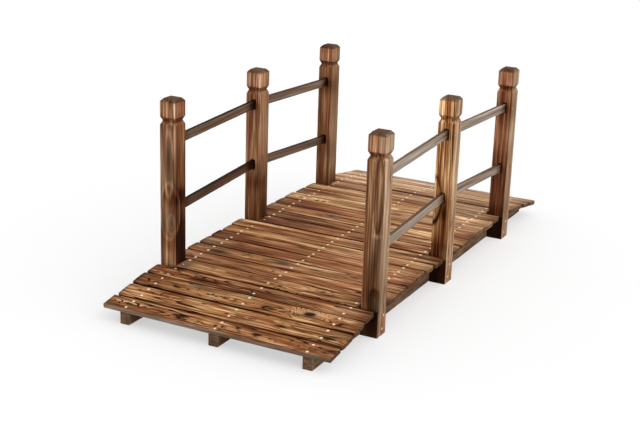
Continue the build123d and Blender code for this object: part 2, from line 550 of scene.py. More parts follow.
def stretched_noise(tree, grain, width, length, detail):
    """Noise whose grains are width wide and length long, in the log's coordinates."""
    scale = (1 / width, 1 / width, 1 / length)
    scaled = add(tree, "ShaderNodeMapping", {"Vector": grain, "Scale": scale})
    noise = add(tree, "ShaderNodeTexNoise", {"Vector": scaled.outputs[0], "Scale": 1.0, "Detail": detail})
    return noise.outputs[0]


def fill_ramp(ramp, stops):
    """Give a colour ramp the stops (place, colour) and no others."""
    elements = ramp.color_ramp.elements
    elements.remove(elements[-1])
    for place, colour in stops:
        elements.new(place).color = colour
    elements.remove(elements[0])


print("late wood takes", 1 - LATE_WOOD[3][0], "of a year's ring")

# %% Rings and colour of the wood
def dark_lines(tree, rings, lines, noises, swing, contrast):
    """How much late wood shows: its share at this point of the year, times the strength of the lines.

    The lines are stronger where the flame stayed, which is where the blotches are dark."""
    waver, bundle, blotch = noises
    centred = add(tree, MATHS, {0: waver, 1: 0.5}, operation="SUBTRACT")
    swung = add(tree, MATHS, {0: centred.outputs[0], 1: swing, 2: rings}, operation="MULTIPLY_ADD")
    frayed = add(tree, MATHS, {0: bundle, 1: FRAY, 2: swung.outputs[0]}, operation="MULTIPLY_ADD")
    year = add(tree, MATHS, {0: frayed.outputs[0]}, operation="FRACT")
    late_share = add(tree, "ShaderNodeValToRGB", {0: year.outputs[0]})
    fill_ramp(late_share, [(place, (value, value, value, 1)) for place, value in LATE_WOOD])
    low, high = BITE
    limits = {0: blotch, 1: low, 2: high, 3: STRONG_LINES * contrast, 4: FAINT_LINES * contrast}
    bite = add(tree, "ShaderNodeMapRange", limits)
    bitten = add(tree, MATHS, {0: bite.outputs[0], 1: lines}, operation="MULTIPLY")
    shares = {0: late_share.outputs[0], 1: bitten.outputs[0]}
    return add(tree, MATHS, shares, operation="MULTIPLY", use_clamp=True).outputs[0]


def early_wood(tree, red, grey, noises, shades, foxy, silver, contrast):
    """Colour between the lines, bundle by bundle: tinted by the heartwood, then silvered by the grey."""
    bundle, wash = noises
    bundles = add(tree, "ShaderNodeValToRGB", {0: bundle})
    fill_ramp(bundles, [(place, linear(shade)) for place, shade in zip(BUNDLE_STOPS, shades)])
    swing = PINK_SWING * contrast
    pinked = add(tree, MATHS, {0: wash, 1: swing, 2: -swing / 2}, operation="MULTIPLY_ADD")
    pinked = add(tree, MATHS, {0: pinked.outputs[0], 1: red}, operation="ADD", use_clamp=True)
    tint = {0: pinked.outputs[0], 6: bundles.outputs[0], 7: linear(foxy)}
    tinted = add(tree, BLEND, tint, data_type="RGBA", blend_type="MULTIPLY")
    silvered = {0: grey, 6: tinted.outputs[2], 7: linear(silver)}
    return add(tree, BLEND, silvered, data_type="RGBA").outputs[2]


def scorched(tree, colour, burn_and_shade, noises, contrast):
    """The colour times a shade: the product of the noises' factors and of 1 - BURN_AND_SHADE_DEPTH times
    the darkening, burn and painted shade alike.

    The shade is raised to a higher power in green and in blue, as smoke browns wood."""
    factors = []
    for noise, swing in zip(noises, (HAIR_SWING, BLOTCH_SWING, WASH_SWING)):
        swing = swing * contrast
        factors.append(add(tree, MATHS, {0: noise, 1: swing, 2: 1 - swing / 2}, operation="MULTIPLY_ADD"))
    hair, patch, washed = factors
    spared = add(tree, MATHS, {0: burn_and_shade, 1: -BURN_AND_SHADE_DEPTH, 2: 1.0}, operation="MULTIPLY_ADD")
    shade = add(tree, MATHS, {0: hair.outputs[0], 1: patch.outputs[0]}, operation="MULTIPLY")
    shade = add(tree, MATHS, {0: shade.outputs[0], 1: washed.outputs[0]}, operation="MULTIPLY")
    shade = add(tree, MATHS, {0: shade.outputs[0], 1: LIGHTEST}, operation="MINIMUM")
    shade = add(tree, MATHS, {0: shade.outputs[0], 1: spared.outputs[0]}, operation="MULTIPLY")
    green = add(tree, MATHS, {0: shade.outputs[0], 1: SCORCH_GREEN}, operation="POWER")
    blue = add(tree, MATHS, {0: shade.outputs[0], 1: SCORCH_BLUE}, operation="POWER")
    browned = {0: shade.outputs[0], 1: green.outputs[0], 2: blue.outputs[0]}
    browned = add(tree, "ShaderNodeCombineColor", browned)
    product = {0: 1.0, 6: colour, 7: browned.outputs[0]}
    return add(tree, BLEND, product, data_type="RGBA", blend_type="MULTIPLY").outputs[2]


print("burn takes up to", BURN_AND_SHADE_DEPTH, "of the light")

# %% Wood material
FOXY, CHAR = "#F0D0D2", "#200D05"
END_GRAIN = "#3A2B20"           # open pores that drank the soot
FIBRE_RELIEF = 0.5              # fibres stand half as proud as the late wood
GLOSS = 0.06                    # fibres break up nearly all the gloss that flat wood would have


def scorched_fir(name, shades, late, silver, roughness=0.7, swing=0.8, contrast=1.0, char=CHAR):
    """Fir under a flame, brushed and oiled: dark late-wood ridges on golden early wood, soft sheen.

    shades run from the darkest to the lightest bundle of early wood. swing is how many rings the
    wavering noise is worth, and contrast is how far streaks and blotches depart from the mean."""
    material = new_material(name)
    tree = material.node_tree
    rings = add(tree, "ShaderNodeAttribute", attribute_name="rings").outputs["Fac"]
    grain = add(tree, "ShaderNodeAttribute", attribute_name="grain").outputs["Vector"]
    look = add(tree, "ShaderNodeAttribute", attribute_name="look").outputs["Vector"]
    mark = add(tree, "ShaderNodeAttribute", attribute_name="mark").outputs["Vector"]
    burn_and_shade, red, grey = add(tree, "ShaderNodeSeparateXYZ", {0: look}).outputs
    core, lines, end = add(tree, "ShaderNodeSeparateXYZ", {0: mark}).outputs
    waver = stretched_noise(tree, grain, WAVER_WIDTH, WAVER_LENGTH, 1.0)
    fibre = stretched_noise(tree, grain, FIBRE_WIDTH, FIBRE_LENGTH, 2.0)
    bundle = stretched_noise(tree, grain, STREAK_WIDTH, STREAK_LENGTH, 3.0)
    blotch = stretched_noise(tree, grain, BLOTCH_WIDTH, BLOTCH_LENGTH, 2.0)
    wash = stretched_noise(tree, grain, WASH_WIDTH, WASH_LENGTH, 2.0)

    line = dark_lines(tree, rings, lines, (waver, bundle, blotch), swing, contrast)
    early = early_wood(tree, red, grey, (bundle, wash), shades, FOXY, silver, contrast)
    lined = add(tree, BLEND, {0: line, 6: early, 7: linear(late)}, data_type="RGBA")
    shaded = scorched(tree, lined.outputs[2], burn_and_shade, (fibre, blotch, wash), contrast)
    ragged = add(tree, MATHS, {0: bundle, 1: RAGGED_BUNDLE, 2: core}, operation="MULTIPLY_ADD")
    ragged = add(tree, MATHS, {0: fibre, 1: RAGGED_FIBRE, 2: ragged.outputs[0]}, operation="MULTIPLY_ADD")
    limits = {0: ragged.outputs[0], 1: CHAR_FROM, 2: CHAR_TO, 3: 0.0, 4: CHAR_DEPTH}
    charred = add(tree, "ShaderNodeMapRange", limits)
    cored = add(tree, BLEND, {0: charred.outputs[0], 6: shaded, 7: linear(char)}, data_type="RGBA")
    colour = add(tree, BLEND, {0: end, 6: cored.outputs[2], 7: linear(END_GRAIN)}, data_type="RGBA")

    height = add(tree, MATHS, {0: fibre, 1: FIBRE_RELIEF, 2: line}, operation="MULTIPLY_ADD")
    relief = add(tree, "ShaderNodeBump", {"Height": height.outputs[0], "Distance": RIDGE_HEIGHT})
    shader = add(tree, "ShaderNodeBsdfPrincipled", {
        "Base Color": colour.outputs[2],
        "Roughness": roughness,
        "IOR": 1.5,
        "Specular IOR Level": GLOSS,
        "Normal": relief.outputs[0],
    })
    add(tree, "ShaderNodeOutputMaterial", {0: shader.outputs[0]})
    return material


golden_fir = ("#7E4B27", "#A36E3F", "#BD8C5A", "#DAB384")
dark_fir = ("#755036", "#8F6847", "#AE825A", "#CCAE8D")
lath_fir = ("#5A4A3C", "#85705D", "#9C8773", "#B5A28F")
wood = {
    # Flame, wire brush and oil: strong dark ridges on warm gold, with a soft sheen.
    "deck_wood": scorched_fir(
        "scorched_brushed_fir_boards", golden_fir, "#331506", "#7D7064", swing=1.2, contrast=1.4),
    # The same finish on browner wood, with calmer lines.
    "post_wood": scorched_fir("scorched_brushed_fir_posts", dark_fir, "#3A1A08", "#8A7862"),
    # Sawn thin and only smoked: dull and greyish, with hardly a line.
    "rail_wood": scorched_fir("scorched_sawn_fir_laths", lath_fir, "#4A3A2E", "#8A7F74", char="#2A1D14"),
    # Rough sawn and left dry: hardly any sheen.
    "stringer_wood": scorched_fir(
        "scorched_sawn_fir_bearers", golden_fir, "#3A1A08", "#7D7064", roughness=0.8),
}
print(len(wood), "wood materials")

# %% [markdown]
# ## Deck boards
# Twenty-three flat-sawn boards, worn by a brush. Each has its own cut from the log: where the pith
# lay under it, where its flecks and knots are, and where the flame or the weather stained it; its
# shade from end to end is partly painted light from the bridge's right. The near boards show their
# figure best, and the far ones are paler and greyer: they were scorched least and are silvered, and
# they carry painted sheen as well, the white room seen at a grazing angle. One random cut for all
# would be quicker, but this bridge is known by its own knots and pale boards.

# %% The cuts of the deck boards
BOARD_TOP = 6                   # the middle of a board is this far below its top, in millimetres
PITH_DEPTH = -16                # every board's pith lay this far under its middle
# Places run from a board's middle: along to the left, and across towards the bridge's far end. A
# pith is only its place across.
# A board's shade is partly painted light from the bridge's right, and the far boards' paleness is partly
# painted sheen.
deck_cuts = {
    1: {
        "tone": "brown", "shade": (-0.2, 0.15), "pith": 2, "wander": 0.4, "burnt_rim": 0.1,
        "trims": (0.0, 2.0), "corner_wear": 0.0, "right_end": 0.4,
        "figures": [(200, 6, 60, 12, 0.8), (-60, 6, 50, 12, 0.8)],
        "flecks": [
            (275, 2, 15, 3.9, 1.0), (225, 2, 9, 3.3, 0.95), (112, 1, 20, 6.6, 1.2),
            (55, -4, 6, 3.9, 0.95), (5, -3, 8, 4.4, 1.0), (-15, -2, 7, 3.9, 1.0),
            (-115, -1, 19, 5, 1.15), (-155, -4, 9, 3.3, 0.95), (-290, 8, 11, 3.3, 0.95),
            (-310, -8, 10, 2.8, 0.9),
        ],
        "knots": [(-236, -4, 12, 7, 0.5)],
        "stains": [(-336, 0, 18, 60, -0.6, 0.0)],
        "faces": [("left", 1.1, 0.3, 0.0, 0.0), ("right", -0.3, 0.0, 0.8, 0.8)],
    },
    2: {
        "tone": "golden", "shade": (-0.2, 0.15), "pith": -3, "wander": 0.3, "trims": (3.0, 0.0),
        "right_end": -0.4,
        "figures": [(-225, -4, 60, 10, 1.3)],
        "flecks": [
            (290, 10, 16, 2.8, 0.9), (232, 6, 9, 3.3, 0.9), (195, 2, 7, 2.8, 0.85),
            (10, -5, 11, 2.8, 0.9), (-60, -2, 14, 3.3, 0.95), (-150, -5, 22, 5.5, 1.15),
            (-215, -6, 20, 2.2, 0.9), (-285, -9, 25, 6.6, 1.2),
        ],
        "stains": [(-336, 0, 18, 60, -0.5, 0.0)],
    },
    3: {
        "tone": "golden", "shade": (0.7, -0.55), "pith": -6, "wander": 0.3, "dashes": 4,
        "right_end": 0.5,
        "figures": [(105, -4, 40, 12, 3.4), (-240, -5, 40, 10, 1.8), (-190, 9, 36, 20, 3.0)],
        "flecks": [
            (272, -5, 14, 2.8, 0.9), (205, -5, 15, 3.9, 1.1), (170, -6, 7, 2.8, 0.9),
            (55, -5, 9, 4.4, 1.15), (108, -7, 8, 4, 0.95), (94, -3, 7, 4, 0.95), (81, -7, 7, 4, 0.95),
            (68, -3, 7, 4, 0.95), (-5, -9, 12, 3.3, 0.95), (-85, -7, 26, 3.9, 1.15),
            (-122, -8, 10, 2.8, 0.95), (-160, -12, 8, 2.8, 0.9), (-182, 8, 9, 2, 1.0),
            (-199, 11, 9, 2, 1.0),
        ],
        "knots": [(-190, 9, 25, 13, 0.62)],
        "stains": [(150, 25, 24, 14, 0.2, 0.7), (-190, 9, 26, 13, 0.9, 0.4)],
    },
    4: {
        "tone": "red", "shade": (-0.15, -0.5), "pith": 10, "right_end": 0.4,
        "flecks": [
            (280, -14, 11, 3.3, 0.9), (220, 0, 11, 3.3, 0.85), (120, -4, 26, 3.3, 0.95),
            (25, -3, 15, 3.3, 0.95),
        ],
        "stains": [(-60, -2, 50, 14, 0.25, 0.0), (-240, 5, 90, 40, -0.45, 0.0)],
    },
    5: {
        "tone": "golden", "shade": (0.4, -0.3), "pith": 5, "wander": 0.45,
        "figures": [(125, 4, 40, 10, 1.4)],
        "flecks": [(60, 8, 16, 3.3, 1.0), (-75, -5, 7, 3.3, 0.85), (-160, 8, 15, 3.3, 1.0)],
        "knots": [(-40, -10, 10, 8, 0.6)],
        "stains": [(262, -3, 20, 24, 0.3, 0.8)],
    },
    6: {
        "tone": "red", "shade": (-0.3, -0.65), "pith": -40, "right_end": -0.1,
        "knots": [(30, 8, 7, 6, 0.6)],
        "stains": [(-200, 0, 150, 60, -0.35, 0.0)],
    },
    7: {
        "tone": "golden", "shade": (0.35, -0.6), "pith": 8,
        "flecks": [(-140, -10, 24, 2.8, 0.9), (-165, -4, 19, 2.2, 0.85)],
        "stains": [
            (240, -7, 32, 17, 1.1, 0.8), (35, 3, 32, 15, 1.1, 0.8), (-120, 0, 80, 60, 0.0, 0.15),
        ],
    },
    8: {
        "tone": "red", "shade": (0.15, -0.75), "pith": 20,
        "stains": [
            (210, -4, 24, 10, 0.3, 0.0), (135, -18, 20, 7, 0.3, 0.0), (5, 2, 12, 12, 0.4, 0.2),
            (-100, 5, 20, 9, 0.3, 0.1), (310, 0, 50, 30, 0.0, 0.4),
        ],
    },
    9: {
        "tone": "brown", "shade": (0.7, -1.45), "pith": 30, "right_end": 0.9,
        "stains": [(-60, -7, 20, 9, 0.5, 0.1), (-295, 0, 50, 40, 0.25, 0.0)],
    },
    10: {
        "tone": "golden", "burn_and_shade": -0.3, "shade": (-0.2, -0.3), "pith": -20, "right_end": -0.1,
        "stains": [(-70, 0, 30, 14, 0.3, 0.4), (-10, 0, 70, 30, 0.2, 0.0)],
    },
    11: {
        "tone": "brown", "shade": (-0.2, -0.35), "pith": 10, "right_end": 0.55,
        "stains": [(75, -3, 30, 10, 0.3, 0.1), (50, 5, 14, 7, 0.3, 0.0)],
    },
    12: {
        "tone": "red", "shade": (0.15, -0.45), "pith": -10,
        "stains": [(230, 0, 110, 60, 0.2, 0.12), (150, 0, 60, 40, 0.1, 0.1)],
    },
    13: {"tone": "smoky", "burn_and_shade": 0.15, "shade": (0.3, -1.0), "pith": 15, "right_end": 0.45},
    14: {
        "tone": "golden", "burn_and_shade": -0.1, "shade": (0.15, -0.85), "pith": -5, "right_end": 0.75,
        "knots": [(112, 5, 10, 8, 0.8)],
        "stains": [
            (112, 5, 24, 20, 0.2, 0.9), (155, -8, 26, 16, 0.3, -0.1), (300, -5, 26, 16, 0.1, 0.6),
        ],
    },
    15: {"tone": "red", "burn_and_shade": -0.05, "shade": (0.15, -1.1), "pith": 25},
    16: {
        "tone": "tan", "burn_and_shade": -0.25, "shade": (-0.7, -1.4), "pith": 0, "right_end": 0.45,
        "knots": [(225, -11, 7, 6, 0.9), (203, -8, 6, 5, 0.9), (285, -5, 9, 5, 0.7)],
        "stains": [(-180, 0, 150, 60, 0.0, 0.12)],
    },
    17: {
        "tone": "tan", "shade": (0.1, -1.7), "pith": -15, "right_end": 1.3,
        "stains": [(-270, 0, 60, 40, 0.5, 0.0)],
    },
    18: {
        "tone": "tan", "burn_and_shade": -0.1, "shade": (0.35, -0.05), "pith": 12, "right_end": 0.7,
        "stains": [(-215, 0, 60, 30, 0.1, 0.5)],
    },
    19: {"tone": "pale", "burn_and_shade": 0.1, "shade": (0.25, 0.05), "pith": 5},
    20: {
        "tone": "pale", "burn_and_shade": -0.2, "shade": (-1.2, -0.2), "pith": -10, "right_end": -0.5,
        "stains": [(220, 0, 150, 60, 0.15, 0.0)],
    },
    21: {"tone": "pale", "burn_and_shade": -0.2, "shade": (-0.6, 0.25), "pith": 15, "right_end": -0.3},
    22: {"tone": "pale", "burn_and_shade": -0.2, "shade": (-1.3, -0.1), "pith": 0, "right_end": 0.45},
    23: {
        "tone": "pale", "burn_and_shade": -0.2, "shade": (-1.25, -0.5), "pith": -8, "right_end": 0.4,
        "stains": [(0, 0, 300, 60, 0.0, 0.3)],
    },
}
print(sum(len(cut.get("flecks", ())) for cut in deck_cuts.values()), "flecks")

# %% Worn bars
EDGE_WEAR, EDGE_WAVES = 0.3, (190, 83, 41)      # millimetres gone from the edges, in slow waves
FACE_WEAR, FACE_WAVES = 0.2, (230, 97, 53)
EVEN_SHARE = 1.3                # the edges' even wear, against the 1 that comes and goes in waves
CORNER_SHARE = 0.7              # the ends' corners lose this share of the longest trim
LARGEST_SKEW = 0.02             # how far from square a saw may cut, as a slope
END_POWER, CORNER_POWER = 8, 7  # higher powers keep the skew nearer the ends and the wear the corners


def bar_surface(size, arris, spacing):
    """Grid points (g, a, h) and quads of a closed bar: the outline carried along g, shrunk at the ends."""
    length, width, height = size
    ring = outline(width, height, arris, spacing)
    distance, inset = end_stations(arris, min(width, height) / 2, spacing)
    body = fill([arris, length / 2], spacing)[1:-1]
    from_end = np.concatenate([distance, body])
    inset = np.concatenate([inset, np.zeros(len(body))])
    g = np.concatenate([from_end - length / 2, [0.0], (length / 2 - from_end)[::-1]])
    inset = np.concatenate([inset, [0.0], inset[::-1]])
    shrink = 1 - np.outer(inset, [2 / width, 2 / height])
    section = ring[None, :, :] * shrink[:, None, :]
    along = np.broadcast_to(g[:, None, None], (*section.shape[:2], 1))
    points = np.concatenate([along, section], axis=2)
    return points.reshape(-1, 3), grid_faces(*section.shape[:2]).reshape(-1, 4)


def wear_bar(points, size, rng, trims, corner_wear=0.0):
    """Uneven length, edges and top: each coordinate moves inwards by a wear times its share of the
    half size. The wear is a fraction of a millimetre on edges and top. Along the grain it is the trims
    (towards +g, towards -g), a skew that grows across the bar, and corner_wear at the corners."""
    g, a, h = points.T
    shares = np.clip(points / (size / 2), -1, 1)
    along, across, out = shares.T
    skew = rng.uniform(0, LARGEST_SKEW) * (size[1] / 2 - a) * np.abs(along) ** END_POWER
    corner = corner_wear * np.abs(across) ** CORNER_POWER
    worn_g = g - along * (np.where(g > 0, *trims) + skew + corner)
    edge = EDGE_WEAR * (EVEN_SHARE + ripple(g, EDGE_WAVES, rng))
    face = FACE_WEAR * (1 + ripple(g + 3 * a, FACE_WAVES, rng))
    return np.column_stack([worn_g, a - edge * across, h - face * out])


def place(points, lie):
    """From a timber's own axes in millimetres to the bridge's frame in metres."""
    return lie["middle"] + points * MM @ lie["axes"]


def add_bar(name, node, kind, cut, slot, arris, spacing, trim, seed):
    """One worn bar in place of a CAD node. Its ends lose up to trim, unless its cut says how much."""
    lie = timber_lie(node, kind)
    points, quads, triangles = weld(*bar_surface(lie["size"], arris, spacing))
    rng = np.random.default_rng(seed)
    trims = cut.get("trims", rng.uniform(0, trim, 2))
    corner_wear = cut.get("corner_wear", CORNER_SHARE * trim)
    worn = wear_bar(points, lie["size"], rng, trims, corner_wear)
    piece = build_piece(name, place(worn, lie), quads, triangles)
    cut_from_log(piece, points, lie, cut, seed)
    piece.data.materials.append(wood[slot])
    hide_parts(node)
    return piece


print("edges lose up to", round(EDGE_WEAR * (EVEN_SHARE + 1), 2), "mm")

# %% Boards
BOARD_ARRIS = 1.5               # millimetres, as a brush leaves it
BOARD_TRIM = 6.0                # boards are uneven by up to this much at either end
SEEDS = {"board": 100, "rail": 300, "post": 400, "stringer": 500}
# For each face: burn, red and grey to add, and how much fainter its lines are.
CHARRED_SIDES = [("left", 1.0, 0.3, 0.0, 0.0), ("right", 0.9, 0.3, 0.0, 0.0)]
# The sawn ends, right and left, took most of the flame: stains over the last centimetre or two.
DARK_ENDS = [(-336, 0, 0, 24, 60, 0.9, 0.1), (336, 0, 0, 11, 60, 0.6, 0.1)]
NEAR_RIM, FAR_RIMS = 0.2, (0.5, 0.25, 0.35)     # far boards take the three in turn
DECK_LEANS = (0.03, 0.045, -0.05, 0.035, -0.03)


def whole_cut(number):
    """A board's own cut over what all boards share. Rings, fibres and lines coarsen and fade away
    from the near end, because a far board shows no more than its broadest bundles."""
    own = deck_cuts[number]
    coarse = float(np.interp(number, (3, 12, 23), (1.0, 2.0, 2.4)))
    right_end = (-305, 0, 0, 42, 60, own.get("right_end", 0.25), 0.1)
    shared = {
        "faces": CHARRED_SIDES,
        "burnt_rim": NEAR_RIM if number < 6 else FAR_RIMS[number % len(FAR_RIMS)],
        "dashes": 8,
        "streaks": 12,
        "coarse": coarse,
        "long": 2.5,
        "ring": 5.0 * coarse,
        "lines": float(np.interp(number, (3, 9), (0.75, 0.35))),
        "sooty_ends": 0.7,
        "lean": (0.0, DECK_LEANS[number % len(DECK_LEANS)]),
        "deep_stains": [*DARK_ENDS, right_end],
    }
    return lay_on({**shared, **own, "pith": (own["pith"], PITH_DEPTH)}, BOARD_TOP)


faces = 0
for number, node in enumerate(boards, start=1):
    spacing = 3.0 + (number >= 9) + (number >= 17)      # near boards get finer meshes
    seed = SEEDS["board"] + number
    piece = add_bar(f"board_{number:02d}", node, "board", whole_cut(number), "deck_wood",
                    BOARD_ARRIS, spacing, BOARD_TRIM, seed)
    faces += len(piece.data.polygons)
print("boards have", faces, "faces")

# %% [markdown]
# ## Rails
# Thin laths, sawn and hardly brushed, so they stay greyer than the rest. They slope up from the end
# posts to the middle ones. A lath is a small board, so the same bar makes it, with a finer arris.

# %% Rails
RAIL_ARRIS, RAIL_MESH, RAIL_TRIM = 1.0, 4.0, 0.5
MOUTH = 18                      # rails carry painted contact shade at the mortises' mouths, this far from their ends
# How much darker each lath is made; the left ones are darker than the right ones.
rail_darkness = {
    "left_near_upper": 0.9, "left_near_lower": 1.2, "left_far_upper": 0.7, "left_far_lower": 0.8,
    "right_near_upper": -0.1, "right_near_lower": -0.3, "right_far_upper": -0.1, "right_far_lower": -0.1,
}
for number, node in enumerate(rails):
    half = timber_lie(node, "rail")["size"][0] / 2
    rail_cut = {
        "tone": "rail", "burn_and_shade": rail_darkness[node.removesuffix("_rail")], "pith": (40, -30),
        "lines": 0.3, "long": 6, "faces": [("best", 0.8, 0.0, -0.1, 0.0)],
        # Painted contact shade where each lath enters a post.
        "stains": [(side * (half - MOUTH), -6, 0, 32, 20, 1.1, 0.0) for side in (-1, 1)],
    }
    add_bar(node.replace("_rail", "_lath"), node, "rail", rail_cut, "rail_wood",
            RAIL_ARRIS, RAIL_MESH, RAIL_TRIM, SEEDS["rail"] + number)
print(len(rails), "rails")

# %% [markdown]
# ## Posts
# A post is one square section carried upwards while its width changes: full to the neck, in to the
# groove, out again to the head, and bevelled to a small flat top. The mortises are pockets: the grid
# has lines on their edges, the quads between them are left out, and walls and a floor are welded in.
# A Boolean modifier would cut them too, but leaves long thin triangles that spoil the smooth shading.

# %% Post sizes from the frame
def post_sizes(node):
    """What the corner points of a CAD post say, in millimetres.

    The outline's corners are as far across as they are out, and give the profile (height, width). Below
    the head, all others are corners of mortises, and give their lower and upper edges, half width and
    depth, and the faces (+1 or -1 times h) that they open in."""
    lie = timber_lie(node, "post")
    points, _, _ = node_arrays(node)
    local = (points - lie["middle"]) @ lie["axes"].T / MM + (lie["size"][0] / 2, 0, 0)
    height, across, out = local.round(3).T
    corner = np.isclose(np.abs(across), np.abs(out), atol=0.01)
    profile = np.unique(np.column_stack([height, 2 * np.abs(across)])[corner], axis=0)
    mortise = ~corner & (height < profile[1, 0])
    face_out = profile[0, 1] / 2
    return {
        "profile": profile,
        "lips": np.unique(height[mortise]).reshape(-1, 2),
        "half": across[mortise].max(),
        "depth": np.ptp(out[mortise]),
        "open_faces": [face for face in (-1, 1) if (out[mortise] * face).max() > face_out - 1],
    }


POST_HALF = post_sizes(posts[0])["profile"][0, 1] / 2
print("a post's outline turns at", post_sizes(posts[0])["profile"].tolist())

# %% Post surface
POST_ARRIS = 1.2
ROUNDING = 1.2                  # the profile's turns are worn over this far each way
POST_MESH = 2.8


def pocket(z, a, face, depth, through):
    """Walls, and a floor unless it goes right through, of a mortise whose lip is the grid z by a.

    The walls carry the lip inwards from the face at h = face."""
    depths = fill([face, face - math.copysign(depth, face)], POST_MESH)
    lip = np.vstack([
        np.column_stack([np.full(len(a), z[0]), a])[:-1],
        np.column_stack([z, np.full(len(z), a[-1])])[:-1],
        np.column_stack([np.full(len(a), z[-1]), a[::-1]])[:-1],
        np.column_stack([z[::-1], np.full(len(z), a[0])]),
    ])
    walls = np.concatenate([
        np.broadcast_to(lip, (len(depths), *lip.shape)),
        np.broadcast_to(depths[:, None, None], (len(depths), len(lip), 1)),
    ], axis=2)
    patches = [(walls.reshape(-1, 3), grid_faces(len(depths), len(lip)).reshape(-1, 4))]
    if not through:
        floor = np.stack(np.broadcast_arrays(z[:, None], a[None, :], depths[-1]), axis=-1)
        patches.append((floor.reshape(-1, 3), grid_faces(len(z), len(a)).reshape(-1, 4)))
    return patches


def post_grid(profile, lips, half):
    """The heights of the stations, the section, and the grid (g from the ground, a, h) of both.

    The square section is scaled by width(g) / width(0). The profile's turns are rounded by taking its
    mean over ROUNDING each way. Below and above, the section shrinks to the middle to close it."""
    heights, widths = profile.T
    steps = np.linspace(-ROUNDING, ROUNDING, 4)
    turns = [height + step for height in heights[1:-1] for step in steps]
    z = fill(sorted({POST_ARRIS, heights[-1], *lips.ravel(), *turns}), POST_MESH)
    window = np.linspace(-ROUNDING, ROUNDING, 7)
    worn = np.interp(z[:, None] + window, heights, widths).mean(1)
    ring = outline(widths[0], widths[0], POST_ARRIS, POST_MESH, splits=(-half, half))
    foot = fill([0.0, widths[0] - 2 * POST_ARRIS], 2 * POST_MESH)
    cap = fill([0.0, worn[-1]], 2 * POST_MESH)[:-1][::-1]
    height = np.concatenate([np.zeros(len(foot)), z, np.full(len(cap), heights[-1])])
    width = np.concatenate([foot, worn, cap])
    section = ring * (width / widths[0])[:, None, None]
    along = np.broadcast_to(height[:, None, None], (*section.shape[:2], 1))
    return z, ring, np.concatenate([along, section], axis=2)


def post_surface(profile, lips, half, depth, open_faces):
    """Points and quads of a post: its grid without the quads over a mortise, and the pockets there."""
    z, ring, grid = post_grid(profile, lips, half)
    middles = (grid[:-1, :-1] + grid[1:, :-1] + grid[:-1, 1:] + grid[1:, 1:]) / 4
    keep = np.ones(middles.shape[:2], bool)
    patches = []
    lip_a = np.unique(ring[np.abs(ring[:, 0]) <= half + 1e-6, 0].round(6))
    for low, high in lips:
        inside = (middles[..., 0] > low) & (middles[..., 0] < high) & (np.abs(middles[..., 1]) < half)
        lip_z = z[(z >= low - 1e-6) & (z <= high + 1e-6)]
        for face in open_faces:
            keep &= ~(inside & (middles[..., 2] * face > POST_HALF - 1))
        through = len(open_faces) == 2
        patches += pocket(lip_z, lip_a, open_faces[0] * POST_HALF, depth, through)
    return join([(grid.reshape(-1, 3), grid_faces(*grid.shape[:2])[keep]), *patches])


print("a post has", len(post_surface(**post_sizes(posts[0]))[1]), "quads")

